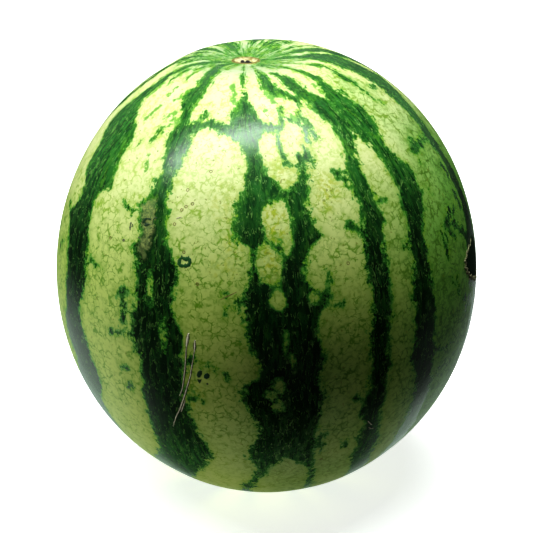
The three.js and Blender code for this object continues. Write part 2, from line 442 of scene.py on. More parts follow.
def turn_gap(turn, other):
    """Difference of two turns in degrees, by the shorter way round."""
    return (turn - other + 180) % 360 - 180


def depth_in_band(turn, rise, rows):
    """Depth inside one outline, which may end short of the crown or of the foot."""
    rows = np.array(rows, float)[::-1]
    left = np.interp(rise, rows[:, 0], rows[:, 1])
    right = np.interp(rise, rows[:, 0], rows[:, 2])
    inside = (right - left) / 2 - np.abs(turn_gap(turn, (left + right) / 2))
    depth = inside * MM_PER_TURN_DEGREE * np.cos(np.radians(rise))
    highest, lowest = rows[-1, 0], rows[0, 0]
    if highest < CROWN_RISE:
        depth = np.minimum(depth, (highest - rise) * MM_PER_RISE_DEGREE)
    if lowest > FOOT_RISE:
        depth = np.minimum(depth, (rise - lowest) * MM_PER_RISE_DEGREE)
    return depth


def distance_to_hole(turn, rise, hole):
    hole_turn, hole_rise, half_width, half_height, lean = hole
    across = turn_gap(turn, hole_turn) * np.cos(np.radians(rise)) / math.cos(math.radians(hole_rise))
    up = rise - hole_rise
    slant = math.radians(lean)
    side = (across * math.cos(slant) - up * math.sin(slant)) / half_width
    height = (across * math.sin(slant) + up * math.cos(slant)) / half_height
    size = min(half_width * math.cos(math.radians(hole_rise)), half_height) * MM_PER_TURN_DEGREE
    return (np.hypot(side, height) - 1) * size * HOLE_STEEPNESS


def depth_in_arm(turn, rise, arm):
    turn_a, rise_a, turn_b, rise_b, half_width = arm
    mm_per_degree = MM_PER_TURN_DEGREE * np.cos(np.radians(rise))
    x = turn_gap(turn, turn_a) * mm_per_degree
    y = (rise - rise_a) * MM_PER_RISE_DEGREE
    end_x = (turn_b - turn_a) * mm_per_degree
    end_y = (rise_b - rise_a) * MM_PER_RISE_DEGREE
    along = np.clip((x * end_x + y * end_y) / (end_x**2 + end_y**2 + 1e-9), 0, 1)
    return half_width - np.hypot(x - along * end_x, y - along * end_y)


def band_depths(turn, rise):
    depth = np.full(turn.shape, OPEN_GROUND)
    for rows in BANDS.values():
        depth = np.maximum(depth, depth_in_band(turn, rise, rows))
    for hole in HOLES:
        depth = np.minimum(depth, distance_to_hole(turn, rise, hole))
    for arm in ARMS:
        depth = np.maximum(depth, depth_in_arm(turn, rise, arm))
    for streak in STREAKS:
        depth = np.maximum(depth, STREAK_WEIGHT * depth_in_arm(turn, rise, streak))
    return depth


point_polar = np.concatenate([[0], polar_grid.ravel(), [np.pi]])
point_turn = np.concatenate([[0], turn_grid.ravel(), [0]])
turn_degrees = np.degrees(point_turn)
rise_degrees = 90 - np.degrees(point_polar)
band_depth = band_depths(turn_degrees, rise_degrees)
print(f"dark share of the skin's points: {np.mean(band_depth > 0):.2f}")

# %% [markdown]
# ## Tinted places
# The skin isn't tinted evenly: here and there it turns yellowish, lime or greener, and one place
# on the left band is rubbed. The greener places at the right and low at the front are partly
# painted shade. Noise alone would put such places anywhere. They are written as soft oval spots
# (turn, rise, half width and half height in degrees, and strength), or as short strokes like
# the arms. In a calm spot the band edges are less torn.

# %% Spots of lime, yellow, deeper green and calm
LIME_SPOTS = [
    (-40, 58, 3.2, 3.2, 1), (-8, 68, 3.5, 2.6, 1), (-5, 63, 3.2, 2.4, 1), (12, 65, 3.2, 2.4, 0.8),
    (-55, 60, 3, 3, 0.9), (-56, 66, 4, 3, 0.9), (-73, 64, 4, 5, 0.8), (45, 63, 3.5, 3, 1),
    (-33, 50, 3, 4, 0.6), (30, 52, 3, 4, 0.7), (-27, 44, 2, 4, 0.5), (36, 47, 3, 5, 0.6),
    (-58, 46, 3, 6, 0.7), (-57, 54, 3, 3, 0.8), (8, 38, 3, 4, 0.6), (-7, 42, 2.5, 5, 0.6),
]
LIME_STROKES = [
    (-43.5, 66.6, -49, 63.3, 1.3), (-40.7, 60.3, -45.5, 57.6, 1.3), (-40.2, 58.4, -40.6, 55.6, 1.4),
    (-55.9, 60, -58, 55.6, 1.5), (-54, 61.5, -56, 59.5, 0.9), (-56.4, 66.9, -57, 64.2, 1.1),
    (-66, 68, -68, 66.5, 0.9), (-43, 46.5, -41, 42.5, 0.9), (-11.5, 70.5, -8.5, 67, 1.5),
    (-9, 66, -8, 62.5, 1.0), (-5, 64.5, -6.5, 61, 1.2), (12.5, 66.5, 15, 62.5, 1.3),
    (19, 66, 21, 63.5, 1.0), (9, 62, 10, 58.5, 0.7), (33, 63, 36, 60.5, 0.9), (45, 65, 44, 61, 1.0),
    (-74, 66, -73, 61, 1.2), (-61, 49, -59, 44, 1.3), (-37, 57.5, -36.5, 55, 0.9), (20, 58, 22, 55, 0.8),
    (37, 47, 37.5, 43, 1.0), (-33.5, 36.5, -37, 35.2, 1.4),
    (-62, 40, -60.5, 35, 0.8), (50, 46, 52, 43.5, 0.8), (48, 54, 50, 51.5, 0.8),
]
YELLOW_SPOTS = [
    (5, 30, 4, 6, 0.9), (2, 21, 2.8, 5, 0.9), (10, 42, 6, 6, 0.6), (24, 36, 3.5, 4, 0.8),
    (21, 33, 3, 3, 0.7), (-7, 27, 2.5, 7, 0.8), (-21, -12, 3.5, 7, 0.7), (8, 36, 3, 3, 0.5),
    (-10, 20, 4, 3, 0.5), (20, 46, 3, 8, 0.5), (-10, 36, 5, 5, 0.4),
]
# Partly painted shade: the greener spots at the right and low at the front also stand in for shade there.
GREENER_AND_SHADE_SPOTS = [
    (80, -5, 42, 48, 1), (22, -30, 34, 34, 0.45), (170, 0, 60, 60, 0.55), (-110, 0, 30, 50, 0.3),
    (66, 52, 12, 14, 0.4),
]
# The dark place at the far right: dead skin, partly painted shade of its hollow.
DEAD_AND_SHADE_SPOTS = [(79, 2, 7, 5, 1)]
CALM_SPOTS = [(12, 54, 16, 12, 1)]
WORN_STROKES = [
    (-34.4, 34.6, -35.6, 33.4, 2.6), (-35.6, 33.2, -35.4, 31.6, 4.4), (-34.6, 31.2, -34.2, 28.6, 3.4),
    (-34.2, 28.6, -34.4, 26.0, 3.3), (-34.4, 26.0, -34.8, 24.2, 3.8), (-35.0, 22.8, -34.6, 21.8, 2.2),
]


def spot_strength(turn, rise, spots):
    strength = np.zeros(turn.shape)
    for spot_turn, spot_rise, half_width, half_height, weight in spots:
        distance = np.hypot(turn_gap(turn, spot_turn) / half_width, (rise - spot_rise) / half_height)
        strength = np.maximum(strength, weight * soft_step(1.5 - distance))
    return strength


OUTSIDE_STROKES = -9.0


def depth_in_strokes(turn, rise, strokes):
    depth = np.full(turn.shape, OUTSIDE_STROKES)
    for stroke in strokes:
        depth = np.maximum(depth, depth_in_arm(turn, rise, stroke))
    return depth


def fade(value, gone, full):
    """0 where value is at gone or beyond, 1 at full or beyond, smooth between."""
    return soft_step((value - gone) / (full - gone))


# Painted shade: lower down the bands and veins are painted darker as shade, and near the foot painted
# bounce light from below takes most of that shade away again.
PAINTED_FOOT_BOUNCE = 0.75
painted_foot_bounce = PAINTED_FOOT_BOUNCE * fade(rise_degrees, -16, -42)
markings = {
    "band_depth": band_depth,
    "crown": fade(rise_degrees, 58, 82),
    "lower": fade(rise_degrees, 52, 7),
    "painted_shade": fade(rise_degrees, 47, 17) * (1 - painted_foot_bounce),
    "lime": spot_strength(turn_degrees, rise_degrees, LIME_SPOTS),
    "lime_depth": depth_in_strokes(turn_degrees, rise_degrees, LIME_STROKES),
    "greener_and_shade": spot_strength(turn_degrees, rise_degrees, GREENER_AND_SHADE_SPOTS),
    "yellow": spot_strength(turn_degrees, rise_degrees, YELLOW_SPOTS),
    "worn": depth_in_strokes(turn_degrees, rise_degrees, WORN_STROKES),
    "dead_and_shade": spot_strength(turn_degrees, rise_degrees, DEAD_AND_SHADE_SPOTS),
    "calm": spot_strength(turn_degrees, rise_degrees, CALM_SPOTS),
}
for name in ("lime", "yellow", "greener_and_shade"):
    print(f"share of points tinted {name}: {np.mean(markings[name] > 0.1):.3f}")

# %% [markdown]
# ## Store the markings on the mesh
# The finish has to know, at every point of the skin, how deep it lies in a band and how strongly
# each tint counts. Numbers stored on the mesh's points say it, and the renderer blends them
# between the points. A stored place does one more thing: noise read at it is drawn out from
# crown to foot, as the grain of the bands is.

# %% Store the markings on the mesh
STREAK_STRETCH = 0.3
BELOW_SCAR_RISE = 60
FAR_FROM_SCAR = 9


def store_number(mesh, name, values):
    layer = mesh.attributes.new(name, "FLOAT", "POINT")
    layer.data.foreach_set("value", np.asarray(values, np.float32))


def store_place(mesh, name, vectors):
    layer = mesh.attributes.new(name, "FLOAT_VECTOR", "POINT")
    layer.data.foreach_set("vector", np.asarray(vectors, np.float32).ravel())


point_places = np.empty(len(skin.data.vertices) * 3)
skin.data.vertices.foreach_get("co", point_places)
point_places = point_places.reshape(-1, 3) / MILLIMETRE
markings["scar_oval"] = np.hypot(
    (point_places[:, 0] - scar_centre[0]) / SCAR_HALF_WIDTH,
    (point_places[:, 1] - scar_centre[1]) / SCAR_HALF_DEPTH,
)
markings["scar_oval"][rise_degrees < BELOW_SCAR_RISE] = FAR_FROM_SCAR
grain_place = np.stack([
    EQUATOR_RADIUS * np.sin(point_turn),
    EQUATOR_RADIUS * np.cos(point_turn),
    np.radians(rise_degrees) * POLE_RADIUS * STREAK_STRETCH,
], -1) * MILLIMETRE

for name, values in markings.items():
    store_number(skin.data, name, values)
store_place(skin.data, "grain_place", grain_place)
print("stored:", ", ".join(markings), "and grain_place")

# %% [markdown]
# ## Small tools for writing a finish
# A finish is a net of nodes. Written out one by one they hide what they do, so a few short
# helpers make a node, feed it and hand back its result. Scales are in cells for each metre, as
# the noise is measured on the skin itself.

# %% Helpers that reckon and mix
def feed(tree, socket, value):
    """Links a result into a socket, or sets a plain value on it."""
    if isinstance(value, bpy.types.NodeSocket):
        tree.links.new(value, socket)
    else:
        socket.default_value = value


def reckon(tree, operation, *values):
    node = tree.nodes.new("ShaderNodeMath")
    node.operation = operation
    for socket, value in zip(node.inputs, values):
        feed(tree, socket, value)
    return node.outputs[0]


def times(tree, first, *others):
    """Product of two or more values."""
    for other in others:
        first = reckon(tree, "MULTIPLY", first, other)
    return first


def plus(tree, first, *others):
    """Sum of two or more values."""
    for other in others:
        first = reckon(tree, "ADD", first, other)
    return first


def larger(tree, first, second):
    return reckon(tree, "MAXIMUM", first, second)


def less_by(tree, value, loss):
    """1 where the value is 0, going down by the loss where it is 1."""
    return reckon(tree, "MULTIPLY_ADD", value, -loss, 1.0)


def ramp(tree, value, low, high, start=0.0, end=1.0):
    """Smooth change from start to end while value goes from low to high."""
    node = tree.nodes.new("ShaderNodeMapRange")
    node.interpolation_type = "SMOOTHSTEP"
    for socket, number in zip(node.inputs, (value, low, high, start, end)):
        feed(tree, socket, number)
    return node.outputs[0]


def lay_over(tree, amount, under, over):
    """The colour over covers the colour under by amount."""
    node = tree.nodes.new("ShaderNodeMix")
    node.data_type = "RGBA"
    feed(tree, node.inputs["Factor"], amount)
    feed(tree, node.inputs[6], under)
    feed(tree, node.inputs[7], over)
    return node.outputs[2]


print("helpers that reckon and mix are ready")


# %% Helpers for noise and nets
def stored(tree, name, output="Fac"):
    """A number or place that was stored on the mesh."""
    node = tree.nodes.new("ShaderNodeAttribute")
    node.attribute_name = name
    return node.outputs[output]


def grain(tree, place, scale, detail=2.0, roughness=0.5):
    """Even noise about 0, between -0.5 and 0.5."""
    node = tree.nodes.new("ShaderNodeTexNoise")
    feed(tree, node.inputs["Vector"], place)
    node.inputs["Scale"].default_value = scale
    node.inputs["Detail"].default_value = detail
    node.inputs["Roughness"].default_value = roughness
    return reckon(tree, "SUBTRACT", node.outputs[0], 0.5)


def reckon_place(tree, operation, first, second):
    node = tree.nodes.new("ShaderNodeVectorMath")
    node.operation = operation
    feed(tree, node.inputs[0], first)
    feed(tree, node.inputs["Scale"] if operation == "SCALE" else node.inputs[1], second)
    return node.outputs["Value"] if operation == "DISTANCE" else node.outputs[0]


def shifted(tree, place, scale, amount):
    """A place moved about by noise, in metres, so that nets and cells lose their even look."""
    wobble = tree.nodes.new("ShaderNodeTexNoise")
    feed(tree, wobble.inputs["Vector"], place)
    wobble.inputs["Scale"].default_value = scale
    centred = reckon_place(tree, "SUBTRACT", wobble.outputs["Color"], (0.5, 0.5, 0.5))
    return reckon_place(tree, "ADD", place, reckon_place(tree, "SCALE", centred, amount))


def net_lines(tree, place, scale, width):
    """Lines of an uneven net: 1 on a line, 0 between lines. Width is a share of a cell."""
    node = tree.nodes.new("ShaderNodeTexVoronoi")
    node.feature = "DISTANCE_TO_EDGE"
    feed(tree, node.inputs["Vector"], place)
    node.inputs["Scale"].default_value = scale
    return ramp(tree, node.outputs["Distance"], 0.0, width, 1.0, 0.0)


def ridge_lines(tree, place, scale):
    """Loose branching lines along the ridges of a noise."""
    node = tree.nodes.new("ShaderNodeTexNoise")
    node.noise_type = "RIDGED_MULTIFRACTAL"
    feed(tree, node.inputs["Vector"], place)
    node.inputs["Scale"].default_value = scale
    node.inputs["Detail"].default_value = 3
    node.inputs["Roughness"].default_value = 0.55
    return ramp(tree, node.outputs[0], 0.86, 1.10)


print("helpers for noise and nets are ready")

# %% [markdown]
# ## The rind's net of veins
# The rind is a smooth waxy skin, and its light ground carries a fine net of green veins, crisp
# in some places and missing in others. Thousands of drawn curves would be slow and look too
# neat. The borders between cells of a cell texture are such a net, once the cells are bent by
# noise of two sizes. Two more noises cut gaps into it, and the ridges of another add twigs.

# %% Start the rind and its net of veins
rind = bpy.data.materials.new("rind")
rind.use_nodes = True
tree = rind.node_tree
surface = tree.nodes["Principled BSDF"]
on_skin = tree.nodes.new("ShaderNodeTexCoord").outputs["Object"]
grain_way = stored(tree, "grain_place", "Vector")
depth = stored(tree, "band_depth")
crown = stored(tree, "crown")
lower = stored(tree, "lower")
painted_shade = stored(tree, "painted_shade")

bent_place = shifted(tree, shifted(tree, on_skin, 120, 0.005), 420, 0.0030)
vein_width = ramp(tree, grain(tree, on_skin, 170, 1.0), -0.15, 0.2, 0.05, 0.22)
vein_patches = ramp(tree, grain(tree, on_skin, 120, 2.0), -0.13, 0.03)
vein_breaks = ramp(tree, grain(tree, on_skin, 310, 2.0), -0.15, -0.04)
veins = times(tree, net_lines(tree, bent_place, 225, vein_width), vein_patches, vein_breaks)
twigs = times(tree, ridge_lines(tree, on_skin, 130), 0.8)
veins = larger(tree, veins, twigs)
print(f"{len(tree.nodes)} nodes once the veins are drawn")

# %% [markdown]
# ## Ragged edges of the bands
# On the fruit the dark bands grow out of that net, so their edges are torn and throw off loose
# flecks. Cutting every fleck into the outline would take thousands of points. The stored depth
# gets noise added instead, in millimetres: a wide wobble, a fine one whose strength changes from
# place to place, and one drawn out lengthways. Near the scar the bands thin out into streaks.

# %% Find the ragged band edges
CALMER = 0.65
EVEN_THINNING = -0.2
raggedness = ramp(tree, grain(tree, on_skin, 55, 1.0), -0.15, 0.2, 0.55, 1.5)
wide_wobble = times(tree, grain(tree, on_skin, 140, 2.0), 8.0)
fine_wobble = times(tree, grain(tree, on_skin, 400, 4.0, 0.72), 11.0, raggedness)
vein_pull = times(tree, veins, 1.2)
wobble = plus(tree, wide_wobble, fine_wobble, vein_pull)
wobble = times(tree, wobble, less_by(tree, crown, CALMER), less_by(tree, stored(tree, "calm"), CALMER))
lengthways_wobble = times(tree, grain(tree, grain_way, 330, 3.0, 0.65), 6.5)
crown_streaks = times(tree, grain(tree, grain_way, 700, 2.0, 0.6), crown, 7.0)
crown_thinning = times(tree, crown, crown, -0.5)
edge = plus(tree, depth, wobble, lengthways_wobble, crown_streaks, crown_thinning, EVEN_THINNING)
print(f"{len(tree.nodes)} nodes once the band edges are found")

# %% [markdown]
# ## The light ground
# Between the bands the rind is a pale yellow-green. Towards the foot it is painted darker and
# deeper green, as shade. It is greener at the far right, partly its own tint and partly painted
# shade, and greyer on the crown, partly its own tint and partly a painted reflection of the light
# above. One flat colour would look like plastic. Colours are laid over one another instead:
# clouds of vein green near the bands, dark mottling on the green flank, then the veins, and last
# a few olive freckles.

# %% Colour the light ground
PALE_GROUND = (0.72, 0.74, 0.40, 1)
LOWER_GROUND_PAINTED_SHADE = (0.48, 0.59, 0.13, 1)
CROWN_GROUND_PAINTED_VEIL = (0.48, 0.53, 0.37, 1)
GREENER_AND_SHADE_GROUND = (0.19, 0.44, 0.07, 1)
YELLOW_GROUND = (0.42, 0.47, 0.018, 1)
VEIN = (0.33, 0.48, 0.01, 1)
DARK_VEIN = (0.09, 0.26, 0.0, 1)
FLANK_DARK = (0.06, 0.19, 0.015, 1)
FLANK_VEIN = (0.025, 0.11, 0.006, 1)
OLIVE_FRECKLE = (0.20, 0.26, 0.02, 1)

# Painted shade: the ground is laid darker and greener towards the foot.
ground = lay_over(tree, lower, PALE_GROUND, LOWER_GROUND_PAINTED_SHADE)
# Partly painted reflection: the crown's ground is laid greyer and bluer, as the veil of the light above.
ground = lay_over(tree, times(tree, crown, crown), ground, CROWN_GROUND_PAINTED_VEIL)
greener_noise = times(tree, grain(tree, on_skin, 45, 3.0), 0.5)
# Greener places, partly the skin's tint and partly painted shade.
greener_and_shade_here = ramp(tree, plus(tree, stored(tree, "greener_and_shade"), greener_noise), -0.1, 1.1)
ground = lay_over(tree, greener_and_shade_here, ground, GREENER_AND_SHADE_GROUND)
yellow_patch = ramp(tree, grain(tree, on_skin, 330, 3.0, 0.65), -0.04, 0.10)
ground = lay_over(tree, times(tree, stored(tree, "yellow"), yellow_patch), ground, YELLOW_GROUND)

# Painted shade: the veins are painted darker lower down, where the painted shade falls, and in the greener
# places.
vein_colour = lay_over(tree, larger(tree, greener_and_shade_here, times(tree, painted_shade, 0.9)), VEIN, DARK_VEIN)
near_band = ramp(tree, depth, -7.0, 0.0, 0.0, 0.30)
cloud = ramp(tree, grain(tree, on_skin, 300, 3.0, 0.65), -0.05, 0.2, 0.0, 0.42)
cloud = times(tree, plus(tree, cloud, near_band), less_by(tree, crown, 0.85))
ground = lay_over(tree, cloud, ground, vein_colour)
flank_mottle = ramp(tree, grain(tree, on_skin, 300, 4.0, 0.74), 0.0, 0.07, 0.0, 0.60)
ground = lay_over(tree, times(tree, flank_mottle, greener_and_shade_here), ground, FLANK_DARK)

vein_strength = ramp(tree, lower, 0.0, 0.5, 0.50, 0.95)
vein_strength = larger(tree, vein_strength, ramp(tree, greener_and_shade_here, 0.0, 0.3, 0.0, 0.95))
ground = lay_over(tree, times(tree, veins, vein_strength), ground, vein_colour)
ground = lay_over(tree, times(tree, veins, greener_and_shade_here, 0.9), ground, FLANK_VEIN)
freckle_noise = plus(tree, grain(tree, on_skin, 430, 1.0), times(tree, stored(tree, "yellow"), 0.06))
freckles = ramp(tree, freckle_noise, 0.20, 0.25, 0.0, 0.75)
ground = lay_over(tree, freckles, ground, OLIVE_FRECKLE)
print(f"{len(tree.nodes)} nodes once the ground is coloured")

# %% [markdown]
# ## The dark bands
# A band is not one green. It is mottled lengthways, broken by a lace of lighter green near its
# edges and by thin light threads, and it ends in a mid-green fringe. Lower down its middle is
# painted nearly black as shade, with less lace and fewer threads, and near the foot painted
# bounce light takes most of that shade away again. Each of these is one colour laid over the
# last, by a noise drawn out lengthways and by how deep the place lies inside the band.

# %% Colour the inside of the bands
BAND_DEEP = (0.006, 0.055, 0.009, 1)
BAND_GREEN = (0.026, 0.155, 0.022, 1)
BAND_LIT = (0.060, 0.240, 0.024, 1)
BAND_PAINTED_SHADE = (0.0016, 0.012, 0.002, 1)
CROWN_BAND_PAINTED_VEIL = (0.060, 0.145, 0.062, 1)
LACE_GREEN = (0.11, 0.33, 0.035, 1)

band_mottle = ramp(tree, grain(tree, grain_way, 260, 4.0, 0.68), -0.09, 0.09)
band_colour = lay_over(tree, band_mottle, BAND_DEEP, BAND_GREEN)
lit_patch = ramp(tree, grain(tree, grain_way, 380, 3.0, 0.7), 0.03, 0.13, 0.0, 0.8)
band_colour = lay_over(tree, lit_patch, band_colour, BAND_LIT)
# Painted shade: lower down the middle of a band is painted nearly black as shade, in uneven patches.
deepest_painted_shade = times(tree, ramp(tree, edge, 0.2, 2.6, 0.6, 1.0), painted_shade)
deep_patch = ramp(tree, grain(tree, grain_way, 330, 3.0, 0.68), -0.10, 0.12, 1.0, 0.70)
band_colour = lay_over(tree, times(tree, deepest_painted_shade, deep_patch), band_colour, BAND_PAINTED_SHADE)
# Partly painted reflection: the bands on the crown are laid greyer, as the veil of the light above, and
# lighter where they split into streaks.
band_colour = lay_over(tree, times(tree, crown, 0.8), band_colour, CROWN_BAND_PAINTED_VEIL)

lace_net = net_lines(tree, shifted(tree, on_skin, 500, 0.0028), 520, 0.30)
lace_holes = reckon(tree, "SUBTRACT", 1.0, lace_net)
lace_near_edge = ramp(tree, edge, 0.4, 5.0, 1.0, 0.15)
# Less lace where the painted shade falls.
lace_out_of_painted_shade = ramp(tree, painted_shade, 0.0, 1.0, 0.75, 0.12)
lace_patch = ramp(tree, grain(tree, on_skin, 190, 3.0, 0.65), -0.06, 0.10)
lace = times(tree, lace_holes, lace_near_edge, lace_out_of_painted_shade, lace_patch)
band_colour = lay_over(tree, lace, band_colour, LACE_GREEN)
print(f"{len(tree.nodes)} nodes once the bands are coloured")

# %% Add the light threads and the fringe, and lay the bands on the ground
BAND_EDGE = (0.038, 0.190, 0.020, 1)
THREAD = (0.20, 0.42, 0.09, 1)
FRINGE = (0.10, 0.32, 0.03, 1)
YELLOW_FRINGE = (0.22, 0.42, 0.02, 1)
LIME = (0.13, 0.38, 0.015, 1)

band_colour = lay_over(tree, ramp(tree, edge, 0.3, 2.4), BAND_EDGE, band_colour)
thread_line = reckon(tree, "ABSOLUTE", grain(tree, grain_way, 330, 2.0, 0.6))
thread = ramp(tree, thread_line, 0.004, 0.026, 1.0, 0.0)
thread_patch = ramp(tree, grain(tree, on_skin, 260, 3.0, 0.65), -0.01, 0.06)
# Fewer light threads where the painted shade falls.
thread_strength = ramp(tree, painted_shade, 0.0, 1.0, 0.95, 0.42)
band_colour = lay_over(tree, times(tree, thread, thread_patch, thread_strength), band_colour, THREAD)

fringe_patch = ramp(tree, grain(tree, on_skin, 240, 3.0, 0.6), -0.02, 0.10)
fringe_colour = lay_over(tree, fringe_patch, FRINGE, YELLOW_FRINGE)
fringe_colour = lay_over(tree, stored(tree, "lime"), fringe_colour, LIME)
colour = lay_over(tree, ramp(tree, edge, -1.1, -0.7), ground, fringe_colour)
colour = lay_over(tree, ramp(tree, edge, -0.1, 0.3), colour, band_colour)
print(f"{len(tree.nodes)} nodes once the bands lie on the ground")

# %% [markdown]
# ## Lime blots and the worn place
# A few short lime blots lie in the ground, and on the left band one place is rubbed to a greyish
# olive. A soft-edged spot would look sprayed on. Both start from the stored strokes and get the
# same kind of torn edge as the bands. The worn place covers the band more than the ground, and
# its lower end is darker.

# %% Colour the lime blots
lime_edge = plus(tree, stored(tree, "lime_depth"), times(tree, grain(tree, on_skin, 430, 4.0, 0.72), 11.0))
lime_blend = lay_over(tree, ramp(tree, lime_edge, 0.7, 1.6), LIME, FRINGE)
off_band = ramp(tree, edge, 0.9, 0.2, 0.35, 1.0)
lime_cover = times(tree, ramp(tree, lime_edge, -0.1, 0.25), off_band, 0.9)
colour = lay_over(tree, lime_cover, colour, lime_blend)
print(f"{len(tree.nodes)} nodes once the lime blots are on")

# %% Colour the worn place, and the dead place's black, partly painted shade of its hollow
WORN_GREY = (0.38, 0.42, 0.13, 1)
WORN_DARK = (0.15, 0.21, 0.07, 1)
WORN_LOW = (0.070, 0.110, 0.030, 1)
WORN_LOW_FULL = 0.180
WORN_LOW_GONE = 0.196
DEAD_BLACK_AND_SHADE = (0.004, 0.007, 0.004, 1)

worn_edge = plus(tree, stored(tree, "worn"), times(tree, grain(tree, on_skin, 360, 4.0, 0.72), 16.0))
worn_grain = ramp(tree, grain(tree, on_skin, 800, 3.0, 0.70), -0.09, 0.09)
worn_colour = lay_over(tree, worn_grain, WORN_DARK, WORN_GREY)
height = tree.nodes.new("ShaderNodeSeparateXYZ")
feed(tree, height.inputs[0], on_skin)
ragged_height = plus(tree, height.outputs["Z"], times(tree, grain(tree, on_skin, 260, 3.0, 0.65), 0.04))
worn_low = ramp(tree, ragged_height, WORN_LOW_FULL, WORN_LOW_GONE, 0.85, 0.0)
worn_colour = lay_over(tree, worn_low, worn_colour, WORN_LOW)
on_band = ramp(tree, edge, -1.6, 0.8, 0.10, 0.86)
worn_patch = ramp(tree, grain(tree, on_skin, 260, 4.0, 0.74), -0.10, 0.03, 0.45, 1.0)
worn_cover = times(tree, ramp(tree, worn_edge, -1.4, 2.0), on_band, worn_patch)
colour = lay_over(tree, worn_cover, colour, worn_colour)
# Partly painted shade: round the dead place the bands are painted black-green, for the dead skin and the
# shade of its hollow.
dead_and_shade_cover = times(tree, stored(tree, "dead_and_shade"), ramp(tree, edge, -0.5, 0.5))
colour = lay_over(tree, dead_and_shade_cover, colour, DEAD_BLACK_AND_SHADE)
print(f"{len(tree.nodes)} nodes once the worn place is on")

# %% [markdown]
# ## The corky scar
# Where the stem or the blossom came away the skin healed as cork: a golden-brown lip round a
# cream dish with small black pits. Its form is in the mesh. Its colours follow the stored oval
# distance from its middle. The pits are dark because they are deep, and at this size that is
# painted in.

# %% Colour the pits of the scar
PIT_BLACK = (0.006, 0.005, 0.004, 1)
PIT_SQUEEZE = 0.6
PIT_SHIFT_BACK = 0.7
PIT_SPREAD = 1.35
PIT_CORE = 0.8
from_above = reckon_place(tree, "MULTIPLY", on_skin, (1, PIT_SQUEEZE, 0))
from_above = shifted(tree, from_above, 900, 0.0009)


def near_pit(pit_x, pit_y, radius):
    """1 in a pit of the scar, 0 outside it, seen from straight above."""
    middle = (scar_centre[0] + pit_x, (scar_centre[1] + pit_y + PIT_SHIFT_BACK) * PIT_SQUEEZE, 0)
    middle = tuple(value * MILLIMETRE for value in middle)
    distance = reckon_place(tree, "DISTANCE", from_above, middle)
    outer = PIT_SPREAD * radius * MILLIMETRE
    return ramp(tree, distance, PIT_CORE * outer, outer, 1.0, 0.0)


pits = 0.0
for pit_x, pit_y, pit_radius, _ in PITS:
    pits = larger(tree, near_pit(pit_x, pit_y, pit_radius), pits)
print(f"{len(PITS)} pits in the scar")

# %% Colour the lip and the dish of the scar
CORK_BROWN = (0.12, 0.095, 0.02, 1)
CORK_GOLD = (0.29, 0.245, 0.06, 1)
CORK_CREAM = (0.60, 0.56, 0.32, 1)

oval = plus(tree, stored(tree, "scar_oval"), times(tree, grain(tree, on_skin, 650, 2.0), 0.25))
inside_scar = ramp(tree, oval, 0.97, 1.05, 1.0, 0.0)
inside_dish = ramp(tree, oval, 0.70, 0.86, 1.0, 0.0)
lip_mottle = ramp(tree, grain(tree, on_skin, 800, 3.0, 0.6), -0.15, 0.15)
dish_mottle = ramp(tree, grain(tree, on_skin, 420, 3.0, 0.6), -0.02, 0.16)
lip_colour = lay_over(tree, lip_mottle, CORK_BROWN, CORK_GOLD)
dish_colour = lay_over(tree, dish_mottle, CORK_CREAM, CORK_GOLD)
scar_colour = lay_over(tree, inside_dish, lip_colour, dish_colour)
scar_colour = lay_over(tree, pits, scar_colour, PIT_BLACK)
colour = lay_over(tree, inside_scar, colour, scar_colour)
print(f"{len(tree.nodes)} nodes once the scar is coloured")

# %% [markdown]
# ## Gloss and fine relief
# The wax is glossier on the dark bands than on the ground, and dull on cork and on the worn
# place. Its light is broken by a faint orange-peel relief, by pores and by the sunken veins.
# That relief is hundredths of a millimetre deep, too fine for the mesh, so it is a bump whose
# height is in millimetres.

# %% Gloss and fine relief of the rind
WAX_ROUGHNESS = 0.25
WAX_REFLECTION = 0.56
gloss_change = times(tree, grain(tree, on_skin, 90, 3.0), 0.16)
cork_dullness = times(tree, inside_scar, 0.4)
worn_dullness = ramp(tree, stored(tree, "worn"), -1.0, 1.0, 0.0, 0.12)
ground_dullness = ramp(tree, edge, -0.5, 0.5, 0.16, 0.0)
roughness = plus(tree, gloss_change, WAX_ROUGHNESS, cork_dullness, worn_dullness, ground_dullness)

peel = times(tree, grain(tree, on_skin, 150, 3.0, 0.5), 0.10)
vein_grooves = times(tree, veins, -0.02)
pores = times(tree, grain(tree, on_skin, 1100, 2.0), 0.03)
cork_pores = times(tree, grain(tree, on_skin, 1500, 3.0, 0.6), inside_scar, 0.3)
bump = tree.nodes.new("ShaderNodeBump")
bump.inputs["Strength"].default_value = 1.0
bump.inputs["Distance"].default_value = MILLIMETRE
feed(tree, bump.inputs["Height"], plus(tree, peel, vein_grooves, pores, cork_pores))
feed(tree, surface.inputs["Base Color"], colour)
feed(tree, surface.inputs["Roughness"], roughness)
feed(tree, surface.inputs["Normal"], bump.outputs[0])
surface.inputs["Specular IOR Level"].default_value = WAX_REFLECTION
skin.data.materials.append(rind)
print(f"{len(tree.nodes)} nodes in the rind")

# %% [markdown]
# ## Put the skin in place of the plain solid
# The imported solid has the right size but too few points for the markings. It could be shown with
# a plain finish, but its facets would show too. The dense skin stands for it and rides on the
# fruit's only body.

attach(skin, "root")
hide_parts("watermelon")
print("the skin stands for the solid")

# %% [markdown]
# ## Small marks on the skin
# A grown fruit carries small scars: scratches, brown rings, specks, a hollow green blot and, at
# the far right, a dead place with a crust. Stored on the skin's points, they would be blurred,
# as they are narrower than the points lie apart. Each is laid on instead as a thin closed cord
# or a thin closed patch, half sunk in the skin.

# %% A flat cord on the skin
CORD_SIDES = 8
CORD_STEP = 0.7
FRAME_STEP = 0.002
FEWEST_POINTS = 5
BLUNT_END = 0.06


